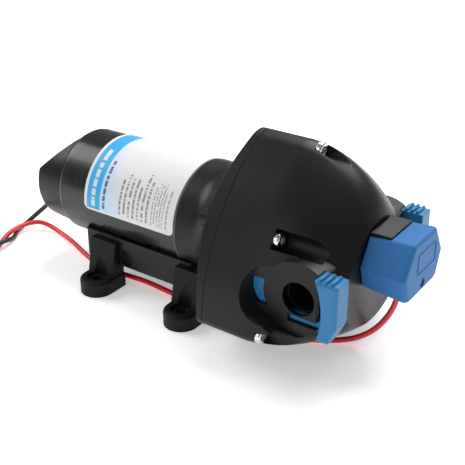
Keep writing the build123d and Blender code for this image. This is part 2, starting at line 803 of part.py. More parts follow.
dome_sections = [
    head_section(dome_start + head_dome * share, dome_inset(head_dome * share)) for share in dome_shares
]
with BuildPart() as front_housing:
    extrude(head_section(parting, 0), amount=head_straight)
    loft(dome_sections)
    for side in (-1, 1):
        with BuildSketch(sideways(side, port_floor)):
            Circle(port_boss_radius)
            with Locations((port_boss_front + port_boss_radius / 2, 0)):
                Rectangle(port_boss_radius, 2 * port_boss_radius, mode=Mode.SUBTRACT)
        extrude(amount=port_boss_face - port_floor)
        with BuildSketch(sideways(side, port_boss_face)):
            Circle(port_boss_radius)
            with Locations((outer_arc, 0)):
                Circle(slot_half)
        extrude(amount=port_flat_depth, taper=-port_flat_slope, mode=Mode.SUBTRACT)
    add(head_cavity.part, mode=Mode.SUBTRACT)
    peg(across(parting), diaphragm_radius + fit_gap, valve_front - parting, Mode.SUBTRACT)
    for side in (-1, 1):
        peg(sideways(side, port_floor), port_seal_radius, port_seal_thickness, Mode.SUBTRACT)
        peg(sideways(side, port_floor + port_seal_thickness), port_radius, overrun, Mode.SUBTRACT)
        peg(sideways(side, port_floor - 2 * head_wall), port_waterway, 2 * head_wall, Mode.SUBTRACT)
        with BuildSketch(sideways(side, slot_floor)):
            with Locations((outer_arc, 0)):
                Circle(slot_half)
                Rectangle(overrun, 2 * slot_half, align=(Align.MIN, Align.CENTER))
        extrude(amount=slot_roof - slot_floor, mode=Mode.SUBTRACT)
        with BuildSketch(sideways(side, slot_floor)):
            with Locations((outer_arc, 0)):
                Circle(slot_half)
            with Locations((0, -side * rear_window_top)):
                Rectangle(2 * overrun, overrun, mode=Mode.SUBTRACT,
                          align=(Align.CENTER, Align.MIN if side < 0 else Align.MAX))
            with Locations((0, side * rear_window_bottom)):
                Rectangle(2 * overrun, overrun, mode=Mode.SUBTRACT,
                          align=(Align.CENTER, Align.MAX if side < 0 else Align.MIN))
            Circle(port_boss_radius, mode=Mode.SUBTRACT)
        extrude(amount=overrun, mode=Mode.SUBTRACT)
        low = -slot_half if side < 0 else low_window_top
        high = -low_window_top if side < 0 else slot_half
        block(sideways(side, slot_floor), -low_window_back, overrun, low, high, overrun, Mode.SUBTRACT)
        low = -clip_tab_down - clear_gap if side < 0 else -clip_tab_up - clear_gap
        high = clip_tab_up + clear_gap if side < 0 else clip_tab_down + clear_gap
        block(sideways(side, slot_floor), clip_tab_start - clear_gap, overrun, low, high, overrun,
              Mode.SUBTRACT)
    peg(sideways(1, 0), port_waterway, port_floor, Mode.SUBTRACT)
    with BuildSketch(across(screw_plane)):
        for out, up in screw_places:
            turn = Vector(1, 0).get_signed_angle(Vector(out, up), Vector(0, 0, 1))
            with Locations(Location((out, up, 0), (0, 0, turn))):
                Circle(screw_recess_radius)
                Rectangle(overrun, 2 * screw_recess_radius, align=(Align.MIN, Align.CENTER))
    extrude(amount=overrun, mode=Mode.SUBTRACT)
    with BuildSketch(across(parting)):
        with Locations(*screw_places):
            Circle(screw_radius)
    extrude(amount=screw_seat, mode=Mode.SUBTRACT)
    with BuildSketch(across(head_front - switch_screw_length)):
        with Locations(*switch_screw_places):
            Circle(switch_screw_radius)
    extrude(amount=switch_screw_length, mode=Mode.SUBTRACT)
    with BuildSketch(across(cavity_front)):
        with Locations((0, switch_centre_up)):
            Circle(sensing_radius)
    extrude(amount=head_wall, mode=Mode.SUBTRACT)
finish_piece(front_housing, "front_housing")

with BuildPart() as housing_screws:
    with BuildSketch(across(flange_rear)):
        with Locations(*screw_places):
            Circle(screw_radius)
    extrude(amount=screw_plane - flange_rear)
    with BuildSketch(across(screw_plane)):
        with Locations(*screw_places):
            Circle(screw_head_radius)
    extrude(amount=screw_head_height)
    head_rims = housing_screws.edges().filter_by(GeomType.CIRCLE).group_by(Axis.X)[-1]
    fillet(head_rims, screw_head_height / 2)
    with BuildSketch(across(screw_plane + screw_head_height / 2)):
        with Locations(*screw_places):
            RegularPolygon(screw_socket_radius, 6)
    extrude(amount=screw_head_height, mode=Mode.SUBTRACT)
finish_piece(housing_screws, "housing_screws")

with BuildPart() as port_seals:
    for side in (-1, 1):
        ring(sideways(side, port_floor), port_seal_radius, port_waterway, port_seal_thickness)
finish_piece(port_seals, "port_seals")

# Port clips: a loop that lies in the slot round the port, and a ribbed tab for the thumb


def port_clip(side):
    """Build one clip; its tab is taller below the port's line than above it."""
    up = -side
    plate = sideways(side, clip_inner_face)
    arms_end = clip_tab_start + clip_waist
    with BuildPart() as clip:
        with BuildSketch(plate):
            with Locations((outer_arc, 0)):
                Circle(clip_outer_radius)
            with Locations((outer_arc, 0)):
                Rectangle(arms_end - outer_arc, 2 * clip_outer_radius, align=(Align.MIN, Align.CENTER))
            with Locations((inner_arc, 0)):
                Circle(clip_inner_radius, mode=Mode.SUBTRACT)
                Rectangle(arms_end - inner_arc, 2 * clip_inner_radius,
                          align=(Align.MIN, Align.CENTER), mode=Mode.SUBTRACT)
        extrude(amount=clip_thickness)
        tab_back = clip_tab_start
        tab_front = clip_tab_start + clip_tab_length
        with BuildSketch(plate):
            with BuildLine():
                waist = (tab_back + clip_waist, -up * clip_rib)
                top_back = (tab_back, up * clip_tab_up)
                low_back = (tab_back + clip_waist / 2, -up * clip_tab_down)
                Polyline(low_back, (tab_front - clip_waist, -up * clip_tab_down),
                         (tab_front, -up * clip_outer_radius / 2), (tab_front, up * clip_tab_up), top_back)
                ThreePointArc(top_back, waist, low_back)
            make_face()
        extrude(amount=clip_tab_outer_face - clip_inner_face)
        long_edges = clip.edges().filter_by(
            lambda edge: edge.center().X > port_x + clip_tab_start + clip_tab_edge
        )
        outer_edges = long_edges.group_by(Axis.Y)[-1 if side > 0 else 0]
        fillet(outer_edges, clip_tab_edge)
    return clip


clip_near = port_clip(-1)
finish_piece(clip_near, "port_clip_near")
clip_far = port_clip(1)
finish_piece(clip_far, "port_clip_far")

# Pressure switch: its rubber disc, plunger, spring, body, microswitch and blue cover

disc_front = head_front + switch_diaphragm_thickness
plunger_back = disc_front + clear_gap
stem_back = plunger_back + plunger_disc
stem_front = plunger_back + plunger_length
spring_room = stem_back + plunger_travel + plunger_disc / 2


def on_switch(station):
    """A plane square to the plunger's axis, with its origin on it."""
    return Plane(origin=(station, 0, axis_height + switch_centre_up), x_dir=(0, 1, 0), z_dir=(1, 0, 0))


def cover_section(station, drawn_in):
    """The cover's eight-sided outline at a station, drawn in evenly."""
    half = [
        (cover_top_out, cover_top),
        (cover_wide_out, cover_wide_up),
        (cover_low_out, -cover_low_down),
        (cover_bottom_out, -cover_bottom_down),
    ]
    other_half = [(-out, up) for out, up in reversed(half)]
    with BuildSketch(across(station)) as section:
        with BuildLine():
            Polyline(*half, *other_half, close=True)
        make_face()
        if drawn_in:
            offset(amount=-drawn_in, kind=Kind.INTERSECTION, mode=Mode.REPLACE)
    return section.sketch


with BuildPart() as switch_diaphragm:
    peg(on_switch(head_front), switch_diaphragm_radius, switch_diaphragm_thickness)
finish_piece(switch_diaphragm, "switch_diaphragm")

with BuildPart() as switch_plunger:
    peg(on_switch(plunger_back), plunger_radius, plunger_disc)
    peg(on_switch(stem_back), plunger_stem_radius, plunger_length - plunger_disc)
finish_piece(switch_plunger, "switch_plunger")

with BuildPart() as switch_spring:
    ring(on_switch(stem_back), plunger_radius - fit_gap, plunger_stem_radius + clear_gap,
         spring_room - stem_back)
finish_piece(switch_spring, "switch_spring")

body_inset = cover_back_shrink + cover_wall + fit_gap
button_back = stem_front + clear_gap
microswitch_back = button_back + button_length - plunger_travel / 2
body_front = head_front + switch_body_length
with BuildPart() as switch_body:
    extrude(cover_section(head_front, body_inset), amount=switch_body_length)
    with BuildSketch(across(cover_back)):
        with Locations((0, cover_top - body_inset)):
            Rectangle(2 * (notch_out - fit_gap), body_inset, align=(Align.CENTER, Align.MIN))
    extrude(amount=notch_length - fit_gap)
    peg(on_switch(head_front), switch_diaphragm_radius, switch_diaphragm_thickness, Mode.SUBTRACT)
    peg(on_switch(disc_front), plunger_radius + running_fit, spring_room - disc_front, Mode.SUBTRACT)
    peg(on_switch(spring_room), plunger_stem_radius + running_fit, switch_body_length, Mode.SUBTRACT)
    block(on_switch(stem_front - plunger_disc / 2), -microswitch_width / 2, microswitch_width / 2,
          -microswitch_height / 2, microswitch_height / 2, switch_body_length, Mode.SUBTRACT)
    with BuildSketch(across(head_front)):
        with Locations(*switch_screw_places):
            Circle(switch_screw_radius)
    extrude(amount=switch_body_length, mode=Mode.SUBTRACT)
    with BuildSketch(across(body_front - switch_screw_head_height)):
        with Locations(*switch_screw_places):
            Circle(switch_screw_head)
    extrude(amount=switch_screw_head_height, mode=Mode.SUBTRACT)
    screw_line = Plane(
        origin=(body_front, 0, axis_height - cover_hole_down),
        x_dir=(0, 1, 0),
        z_dir=(1, 0, 0),
    )
    peg(screw_line, cover_screw_radius + cover_boss_wall, cover_front - cover_wall - body_front)
    peg(screw_line.offset(-cover_screw_depth), cover_screw_radius, overrun, Mode.SUBTRACT)
finish_piece(switch_body, "switch_body")

with BuildPart() as microswitch:
    block(on_switch(microswitch_back), -microswitch_width / 2, microswitch_width / 2,
          -microswitch_height / 2, microswitch_height / 2, body_front - microswitch_back)
    peg(on_switch(microswitch_back), button_radius + running_fit, button_length, Mode.SUBTRACT)
finish_piece(microswitch, "microswitch")

with BuildPart() as microswitch_button:
    peg(on_switch(button_back), button_radius, button_length)
finish_piece(microswitch_button, "microswitch_button")

with BuildPart() as switch_screws:
    with BuildSketch(across(head_front - switch_screw_length)):
        with Locations(*switch_screw_places):
            Circle(switch_screw_radius)
    extrude(amount=switch_screw_length + switch_body_length - switch_screw_head_height)
    with BuildSketch(across(body_front - switch_screw_head_height)):
        with Locations(*switch_screw_places):
            Circle(switch_screw_head)
    extrude(amount=switch_screw_head_height)
finish_piece(switch_screws, "switch_screws")

grommet_level = axis_height - cover_bottom_down + cover_back_shrink
grommet_up = Plane(origin=(supply_exit_x, 0, grommet_level), x_dir=(1, 0, 0), z_dir=(0, 0, -1))
with BuildPart() as switch_cover:
    loft([cover_section(cover_back, cover_back_shrink), cover_section(cover_front, 0)], ruled=True)
    outer_edges = switch_cover.edges().filter_by(
        lambda edge: edge.bounding_box().max.X > cover_back + cover_gap
    )
    fillet(outer_edges, cover_edge)
    inner_sections = [
        cover_section(cover_back, cover_back_shrink + cover_wall),
        cover_section(cover_front - cover_wall, cover_wall),
    ]
    loft(inner_sections, ruled=True, mode=Mode.SUBTRACT)
    block(across(cover_back), -notch_out, notch_out, cover_top - body_inset - fit_gap, cover_top + overrun,
          notch_length, Mode.SUBTRACT)
    peg(screw_line, cover_hole_radius, overrun, Mode.SUBTRACT)
    peg(grommet_up.offset(-grommet_length), grommet_radius, grommet_length, Mode.SUBTRACT)
    peg(grommet_up, grommet_collar, overrun, Mode.SUBTRACT)
finish_piece(switch_cover, "switch_cover")

with BuildPart() as cover_screw:
    peg(screw_line.offset(-cover_screw_depth), cover_screw_radius,
        cover_front - cover_wall - body_front + cover_screw_depth)
    peg(screw_line.offset(cover_front - cover_wall - body_front), cover_hole_radius - fit_gap,
        cover_wall / 2)
finish_piece(cover_screw, "cover_screw")

with BuildPart() as supply_grommet:
    peg(grommet_up.offset(-cover_wall / 2), grommet_radius, cover_wall / 2)
    peg(grommet_up, grommet_collar, grommet_collar_length)
finish_piece(supply_grommet, "supply_grommet")

with BuildPart() as return_grommet:
    peg(grommet_plane, grommet_radius, rear_cover_wall)
    peg(grommet_plane.offset(-grommet_collar_length), grommet_collar, grommet_collar_length)
finish_piece(return_grommet, "return_grommet")

# Base plate and the four rubber feet

base_level = axis_height - base_bottom_down
with BuildPart() as base_plate:
    block(across(-base_start), -base_half_width, base_half_width, -base_bottom_down, -base_top_down,
          base_start + neck_front)
    corner_edges = base_plate.edges().filter_by(Axis.Z)
    fillet(corner_edges, base_edge)
    peg(across(-base_start), can_radius, base_start + can_front, Mode.SUBTRACT)
    peg(across(can_front), neck_radius, neck_front - can_front, Mode.SUBTRACT)
    with BuildSketch(Plane.XY.offset(axis_height - base_top_down - base_slot_depth)):
        with Locations((-(base_slot_length - base_slot_depth) / 2, 0)):
            Rectangle(base_slot_length, 2 * base_half_width - 2 * base_slot_depth)
    extrude(amount=base_slot_depth, mode=Mode.SUBTRACT)
    for side in (-1, 1):
        recess_plane = Plane(
            origin=(-base_recess_back, side * base_half_width, base_level + base_recess_up),
            x_dir=(1, 0, 0),
            z_dir=(0, -side, 0),
        )
        peg(recess_plane, base_recess_radius, base_recess_depth, Mode.SUBTRACT)
finish_piece(base_plate, "base_plate")


def foot(side, end):
    """One rubber foot, gripped on the base's side and spread to a tab with a fixing hole."""
    middle = end * hole_spacing_x / 2
    hole_out = hole_spacing_y / 2
    with BuildPart() as rubber:
        with BuildSketch():
            with Locations((middle, side * hole_out)):
                Circle(foot_end_radius)
            with Locations((middle, side * (base_half_width - foot_grip + hole_out) / 2)):
                Rectangle(2 * foot_end_radius, hole_out - base_half_width + foot_grip)
        extrude(amount=foot_thickness)
        top_edges = rubber.edges().filter_by(GeomType.CIRCLE).group_by(Axis.Z)[-1]
        fillet(top_edges, foot_edge)
        side_plane = Plane(origin=(middle - foot_stem_width / 2, 0, 0), x_dir=(0, 1, 0), z_dir=(1, 0, 0))
        with BuildSketch(side_plane):
            with BuildLine():
                Polyline(
                    (side * (base_half_width - foot_grip), 0),
                    (side * (base_half_width - foot_grip), base_level),
                    (side * base_half_width, base_level),
                    (side * base_half_width, base_level + foot_grip_up),
                    (side * (base_half_width + foot_grip), base_level + foot_grip_up),
                    (side * (base_half_width + foot_flare), foot_thickness),
                    (side * (base_half_width + foot_flare), 0),
                    close=True,
                )
            make_face()
        extrude(amount=foot_stem_width)
        hole_plane = Plane(origin=(middle, side * hole_out, 0), x_dir=(1, 0, 0), z_dir=(0, 0, 1))
        peg(hole_plane.offset(foot_thickness - foot_washer_depth), foot_washer_radius, base_level,
            Mode.SUBTRACT)
        peg(hole_plane, foot_hole_radius, foot_thickness, Mode.SUBTRACT)
        add(drive_housing.part, mode=Mode.SUBTRACT)
    return rubber


for end_name, end in (("rear", -1), ("front", 1)):
    for side_name, side in (("near", -1), ("far", 1)):
        finish_piece(foot(side, end), f"foot_{end_name}_{side_name}")

# Leads: single insulated wires that lie on the floor, with stripped ends

supply_route = [
    (124.5, 0, 37.6), (124.5, 0, 29.4), (121.2, -1.0, 19.6), (115.2, -1.6, 10.2),
    (107.2, -3.2, 3.6), (99.0, -7.6, 1.5), (90.2, -13.2, 1.5), (78.8, -17.6, 1.5),
    (60.0, -19.6, 1.5), (28.0, -20.0, 1.5), (4.0, -18.2, 1.5), (-10.0, -16.9, 1.5),
    (-22.0, -17.7, 1.5), (-34.0, -18.8, 1.5), (-47.0, -17.2, 1.5), (-60.0, -12.6, 1.5),
    (-74.0, -6.6, 1.5), (-87.0, -2.6, 1.5), (-97.5, -1.2, 2.8), (-103.5, -3.4, 4.7),
    (-107.3, -8.4, 4.8), (-108.5, -14.6, 4.9), (-108.4, -20.8, 4.8), (-107.6, -27.2, 3.6),
    (-105.6, -33.4, 1.6), (-102.6, -39.4, 1.5), (-100.6, -46.0, 1.5), (-100.0, -52.6, 1.5),
]
return_route = [
    (-79.2, 2.0, 26.0), (-85.6, 2.0, 26.0), (-92.6, 2.2, 21.8), (-99.5, 1.5, 16.2),
    (-105.8, -0.2, 10.2), (-110.4, -3.4, 5.2), (-112.2, -8.6, 2.2), (-111.3, -15.2, 1.5),
    (-107.4, -20.0, 1.5), (-104.0, -25.2, 2.3), (-102.0, -31.2, 4.6), (-102.0, -37.6, 4.9),
    (-103.8, -43.8, 4.7), (-106.4, -49.8, 2.2), (-108.8, -55.8, 1.5), (-110.6, -61.6, 1.5),
]


def wire_path(route, name):
    """Straight runs joined by arcs that are as large as their runs allow."""
    points = [Vector(*place) for place in route]
    radii = []
    for before, corner, after in zip(points, points[1:], points[2:]):
        turn = (corner - before).get_angle(after - corner)
        shorter = min((corner - before).length, (after - corner).length)
        radii.append(arc_share * shorter / tan(radians(turn / 2)))
    print(name, "arc radii", [round(radius, 1) for radius in radii])
    return FilletPolyline(*points, radius=radii)


def lead(route, name):
    """One insulated lead along its route, and its stripped end."""
    with BuildPart() as wire:
        with BuildLine() as line:
            wire_path(route, name)
        with BuildSketch(Plane(origin=line.line @ 0, z_dir=line.line % 0)):
            Circle(wire_radius)
        sweep()
    finish_piece(wire, f"{name}_lead")
    length = line.wire().length
    share = wire.part.volume / (length * pi * wire_radius ** 2)
    print(name, "length", round(length, 1), "volume share", round(share, 4))
    with BuildPart() as end:
        peg(Plane(origin=line.line @ 1, z_dir=line.line % 1), strip_radius, strip_length)
    finish_piece(end, f"{name}_wire_end")


lead(supply_route, "supply")
lead(return_route, "return")
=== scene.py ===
# %% [markdown]
# # Dressing a caravan water pump
# The pump arrives as a finished set of solids, each in its true place and size in metres. This
# lesson gives them their looks. The camera and the two leads come first, then one finish after
# another, and last the small raised forms that the solids leave to the scene.

# %% Load the solids
import bmesh
import bpy
import json
from math import cos, pi, sin
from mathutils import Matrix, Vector


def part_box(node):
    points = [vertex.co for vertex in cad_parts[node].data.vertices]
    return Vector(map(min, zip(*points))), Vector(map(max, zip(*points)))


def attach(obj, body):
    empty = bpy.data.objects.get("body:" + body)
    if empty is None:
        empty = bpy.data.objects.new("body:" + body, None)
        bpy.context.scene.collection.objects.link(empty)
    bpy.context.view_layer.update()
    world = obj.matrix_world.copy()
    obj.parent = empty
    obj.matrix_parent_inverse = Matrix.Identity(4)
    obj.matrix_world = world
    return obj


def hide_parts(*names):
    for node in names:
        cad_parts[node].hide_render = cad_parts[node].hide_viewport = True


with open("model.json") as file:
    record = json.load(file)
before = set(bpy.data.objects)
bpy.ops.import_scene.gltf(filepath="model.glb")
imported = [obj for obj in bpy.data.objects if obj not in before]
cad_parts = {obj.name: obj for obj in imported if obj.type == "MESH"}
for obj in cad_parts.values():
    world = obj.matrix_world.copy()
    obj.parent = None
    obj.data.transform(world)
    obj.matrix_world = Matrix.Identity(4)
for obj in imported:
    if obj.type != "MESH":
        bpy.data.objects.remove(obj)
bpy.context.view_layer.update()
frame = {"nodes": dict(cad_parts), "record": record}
solids = frame["nodes"]

# %% [markdown]
# Everything that is added to a Blender scene is an object that shows some data: a camera, a lamp,
# a curve or a mesh. Two short functions do what each of them needs. A camera and a lamp both look
# down their own -Z, and `to_track_quat` turns that onto a direction while it keeps Y upright.


# %% New objects
def add_object(name, data):
    """A new object that shows this data, linked into the scene."""
    made = bpy.data.objects.new(name, data)
    bpy.context.scene.collection.objects.link(made)
    return made


def look_along(viewer, direction):
    """Turn a camera or a lamp so that it looks this way."""
    viewer.rotation_mode = "QUATERNION"
    viewer.rotation_quaternion = direction.to_track_quat("-Z", "Y")


# %% [markdown]
# A product picture is taken with a long lens from above one corner. The lens could be set by eye,
# but the place and the aim were worked out once from the label's edges and the motor's outline, so
# here they are plain numbers.

# %% Camera
camera_data = bpy.data.cameras.new("camera")
camera_data.sensor_width = 36.0
camera_data.lens = 67.97
camera = add_object("camera", camera_data)
camera.location = (0.2579, -0.31965, 0.2377)
look_along(camera, Vector((-0.5108, 0.7276, -0.4579)))
bpy.context.scene.camera = camera
print("lens", camera_data.lens)

# %% [markdown]
# Each lead is one insulated wire, 2.8 mm thick. It comes straight out of its grommet, droops to
# the floor and lies there in loose bends; the two cross behind the motor. A swept mesh would do,
# but a NURBS curve stays smooth from a few points and has a real length, so a few points are all
# that has to be placed. The order is set after the points, because a spline with too few points
# can't hold it. The thickness is each point's own radius, times a bevel depth of 1.

# %% Routes of the leads
wire_radius = 0.0014
supply_route = [
    (124.5, 0, 37.6), (124.5, 0, 29.4), (121.2, -1.0, 19.6), (115.2, -1.6, 10.2),
    (107.2, -3.2, 3.6), (99.0, -7.6, 1.5), (90.2, -13.2, 1.5), (78.8, -17.6, 1.5),
    (60.0, -19.6, 1.5), (28.0, -20.0, 1.5), (4.0, -18.2, 1.5), (-10.0, -16.9, 1.5),
    (-22.0, -17.7, 1.5), (-34.0, -18.8, 1.5), (-47.0, -17.2, 1.5), (-60.0, -12.6, 1.5),
    (-74.0, -6.6, 1.5), (-87.0, -2.6, 1.5), (-97.5, -1.2, 2.8), (-103.5, -3.4, 4.7),
    (-107.3, -8.4, 4.8), (-108.5, -14.6, 4.9), (-108.4, -20.8, 4.8), (-107.6, -27.2, 3.6),
    (-105.6, -33.4, 1.6), (-102.6, -39.4, 1.5), (-100.6, -46.0, 1.5), (-100.0, -52.6, 1.5),
]
return_route = [
    (-79.2, 2.0, 26.0), (-85.6, 2.0, 26.0), (-92.6, 2.2, 21.8), (-99.5, 1.5, 16.2),
    (-105.8, -0.2, 10.2), (-110.4, -3.4, 5.2), (-112.2, -8.6, 2.2), (-111.3, -15.2, 1.5),
    (-107.4, -20.0, 1.5), (-104.0, -25.2, 2.3), (-102.0, -31.2, 4.6), (-102.0, -37.6, 4.9),
    (-103.8, -43.8, 4.7), (-106.4, -49.8, 2.2), (-108.8, -55.8, 1.5), (-110.6, -61.6, 1.5),
]


def metres(route):
    """Points given in millimetres, as vectors in metres."""
    return [Vector(place) / 1000 for place in route]


print("points", len(supply_route), "and", len(return_route))


# %% The leads as curves
def round_line(name, roundness):
    """An empty curve for round wire, on which each point's radius is the real one."""
    line = bpy.data.curves.new(name, "CURVE")
    line.dimensions = "3D"
    line.bevel_depth = 1.0
    line.bevel_resolution = roundness
    line.use_fill_caps = True
    return line


def lead(name, route):
    """One wire along its route, with round insulation."""
    line = round_line(name, 6)
    line.resolution_u = 12
    spline = line.splines.new("NURBS")
    places = metres(route)
    spline.points.add(len(places) - 1)
    for point, place in zip(spline.points, places):
        point.co = (*place, 1.0)
        point.radius = wire_radius
    spline.order_u = 3
    spline.use_endpoint_u = True
    return add_object(name, line)


supply_wire = lead("supply_wire", supply_route)
return_wire = lead("return_wire", return_route)
print("wires", supply_wire.name, return_wire.name)

# %% [markdown]
# At its far end each lead is stripped, and the bare copper shows as a bunch of fine strands with
# a slow twist. A plain rod would be enough from afar, but one straight strand with six thin
# helixes round it catches the light as the real ones do. They start inside the insulation and end
# together.

# %% Stripped ends
strand_count = 7
strand_radius = 0.00023
strand_spacing = 0.00044
strand_length = 0.0093
inside_insulation = 0.0004
twist_turns = 0.75
twist_steps = 16


def strands(name, route):
    """Twisted strands that carry on from a route's last run."""
    places = metres(route)
    start = places[-1]
    onward = (places[-1] - places[-2]).normalized()
    aside = onward.cross(Vector((0, 0, 1))).normalized()
    up = aside.cross(onward)
    line = round_line(name, 3)
    for strand in range(strand_count):
        spline = line.splines.new("POLY")
        spline.points.add(twist_steps)
        spacing = 0 if strand == 0 else strand_spacing
        for step, point in enumerate(spline.points):
            share = step / twist_steps
            turn = strand * pi / 3 + share * twist_turns * 2 * pi
            place = start + onward * (strand_length * share - inside_insulation)
            place += (aside * cos(turn) + up * sin(turn)) * spacing
            point.co = (*place, 1.0)
            point.radius = strand_radius
    return add_object(name, line)


supply_strands = strands("supply_strands", supply_route)
return_strands = strands("return_strands", return_route)
print("strands in a bunch", strand_count)

# %% [markdown]
# Among the solids each lead and its stripped end are plain stand-ins, kept for the motion. The
# curves take their places in the picture and ride on the pump's body. The real length of each
# lead is printed.

for wire, bunch, name, route, length in (
    (supply_wire, supply_strands, "supply", supply_route, 0.3097),
    (return_wire, return_strands, "return", return_route, 0.1035),
):
    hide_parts(f"{name}_lead")
    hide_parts(f"{name}_wire_end")
    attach(wire, "pump")
    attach(bunch, "pump")
    print(name, "lead is", round(length * 1000), "mm long")

# %% [markdown]
# The pump stands on a plain pale floor under soft light. One small lamp would give hard shadows,
# so four broad panels are used: a strong one overhead and behind, which draws the long soft
# highlights on the black plastic, one at the motor's end, a weak one on the near side, and one
# high behind the far end, for the tops of the head and the blue cover. The world adds an even glow.

# %% Floor
floor_reach = 4.0
floor_corners = [
    (x * floor_reach, y * floor_reach, 0) for x, y in ((-1, -1), (1, -1), (1, 1), (-1, 1))
]
floor_mesh = bpy.data.meshes.new("floor")
floor_mesh.from_pydata(floor_corners, [], [(0, 1, 2, 3)])
floor = add_object("floor", floor_mesh)
print("floor is", 2 * floor_reach, "m wide")

# %% Lights
pump_middle = Vector((0.02, 0, 0.04))


def panel(name, place, size, watts):
    """A soft square light that faces the middle of the pump."""
    light = bpy.data.lights.new(name, "AREA")
    light.shape = "SQUARE"
    light.size = size
    light.energy = watts
    lamp = add_object(name, light)
    lamp.location = place
    look_along(lamp, pump_middle - Vector(place))
    print("panel", name, watts, "W")


panel("overhead", (0.05, 0.50, 0.78), size=0.8, watts=9.5)
panel("motor_side", (-0.75, -0.15, 0.60), size=0.5, watts=4.0)
panel("near_side", (-0.15, -1.00, 0.50), size=0.8, watts=2.3)
panel("far_end", (0.42, 0.80, 0.85), size=0.5, watts=2.4)

# %% Even glow
glow_strength = 0.26
world = bpy.data.worlds.new("studio")
world.use_nodes = True
glow = world.node_tree.nodes["Background"]
glow.inputs["Color"].default_value = (1.0, 1.0, 1.0, 1.0)
glow.inputs["Strength"].default_value = glow_strength
bpy.context.scene.world = world
bpy.context.scene.view_settings.view_transform = "Standard"
print("glow", glow_strength)

# %% [markdown]
# Finishes are built from shader nodes. Wiring each by hand hides the idea, so two small classes
# carry it. `Field` wraps a socket, and the signs + - * / % < and > on it add Math nodes, so a mask
# is written as a sum. `Finish` is one material, and all its other nodes come from one method.


# %% Sums on sockets
class Field:
    """A number that changes over a surface, used in sums like any other number."""

    def __init__(self, finish, socket):
        self.finish = finish
        self.socket = socket

    def maths(self, operation, first, second=0.0):
        """One Math node, with a field or a plain number in each socket."""
        return self.finish.node("ShaderNodeMath", {"operation": operation}, {0: first, 1: second})

    def __add__(self, other):
        return self.maths("ADD", self, other)

    __radd__ = __add__

    def __sub__(self, other):
        return self.maths("SUBTRACT", self, other)

    def __rsub__(self, other):
        return self.maths("SUBTRACT", other, self)

    def __mul__(self, other):
        return self.maths("MULTIPLY", self, other)

    __rmul__ = __mul__

    def __truediv__(self, other):
        return self.maths("DIVIDE", self, other)

    def __rtruediv__(self, other):
        return self.maths("DIVIDE", other, self)

    def __mod__(self, other):
        return self.maths("FLOORED_MODULO", self, other)

    def __rmod__(self, other):
        return self.maths("FLOORED_MODULO", other, self)

    def __gt__(self, other):
        return self.maths("GREATER_THAN", self, other)

    def __lt__(self, other):
        return self.maths("LESS_THAN", self, other)

    def __abs__(self):
        return self.maths("ABSOLUTE", self)


# %% One material
class Finish:
    """A material whose shader takes plain numbers, and fields where they vary."""

    def __init__(self, name, **constants):
        self.material = bpy.data.materials.new(name)
        self.material.use_nodes = True
        self.tree = self.material.node_tree
        self.shader = self.tree.nodes["Principled BSDF"]
        self.set(**constants)

    def node(self, kind, settings=None, values=None, output=0):
        """Add a node: its settings first, then the values or links of its sockets."""
        made = self.tree.nodes.new(kind)
        for key, value in (settings or {}).items():
            setattr(made, key, value)
        for key, value in (values or {}).items():
            self.feed(made.inputs[key], value)
        return Field(self, made.outputs[output])

    def feed(self, socket, value):
        """Link a field to a socket, or set the socket to a plain value."""
        if isinstance(value, Field):
            self.tree.links.new(value.socket, socket)
        elif socket.type == "RGBA":
            socket.default_value = (*value, 1.0)
        else:
            socket.default_value = value

    def set(self, **inputs):
        """Set the shader's own sockets; base_color stands for Base Color, and so on."""
        for key, value in inputs.items():
            title = " ".join(word.capitalize() for word in key.split("_")).replace("Ior", "IOR")
            self.feed(self.shader.inputs[title], value)

    def fed(self, title):
        """The field that a socket of the shader has so far."""
        return Field(self, self.shader.inputs[title].links[0].from_socket)

    def place(self):
        """The point on the surface, in metres, in the solid's own frame."""
        return self.node("ShaderNodeTexCoord", output="Object")

    def parts(self, vector):
        """The three coordinates of a vector field."""
        split = self.node("ShaderNodeSeparateXYZ", {}, {"Vector": vector})
        outputs = split.socket.node.outputs
        return Field(self, outputs["X"]), Field(self, outputs["Y"]), Field(self, outputs["Z"])

    def noise(self, size, detail=2.0, rough=0.5):
        """Soft noise whose spots are about this size in metres."""
        return self.node(
            "ShaderNodeTexNoise", {},
            {"Vector": self.place(), "Scale": 1 / size, "Detail": detail, "Roughness": rough},
        )

    def spread(self, first, second):
        """Noise over two numbers in place of a point on the surface."""
        pair = self.node("ShaderNodeCombineXYZ", {}, {"X": first, "Y": second})
        return self.node("ShaderNodeTexNoise", {}, {"Vector": pair, "Scale": 1.0, "Detail": 1.0})

    def mix(self, factor, first, second):
        """A colour on the way from the first to the second."""
        colours = {0: factor, 6: first, 7: second}
        return self.node("ShaderNodeMix", {"data_type": "RGBA"}, colours, output=2)

    def level(self, field, low, high, start=0.0, end=1.0):
        """The field stretched from low..high to start..end, and held within them."""
        return self.node(
            "ShaderNodeMapRange", {"clamp": True},
            {"Value": field, "From Min": low, "From Max": high, "To Min": start, "To Max": end},
        )

    def bump(self, height, depth, soft=None):
        """Raise the surface by a height field, at most depth metres."""
        values = {"Height": height, "Distance": depth, "Strength": 1.0}
        if soft is not None:
            values["Normal"] = soft
        return self.node("ShaderNodeBump", {}, values)

    def rounded(self, radius):
        """Normals that turn softly over each edge, as if it had this radius."""
        return self.node("ShaderNodeBevel", {"samples": 6}, {"Radius": radius})


# %% [markdown]
# The pump's body is moulded in black glass-filled plastic. Its mould was spark-eroded, so the skin
# is a fine satin grain: dull when seen straight on, bright where it turns away from the eye. The
# grain could be real geometry, but at a tenth of a millimetre only its effect on light matters, so
# it is a bump. Larger clouds in the roughness keep broad faces from looking painted, and handling
# leaves a few pale scuffs. The blue clips and cover and the white parts inside share the recipe.


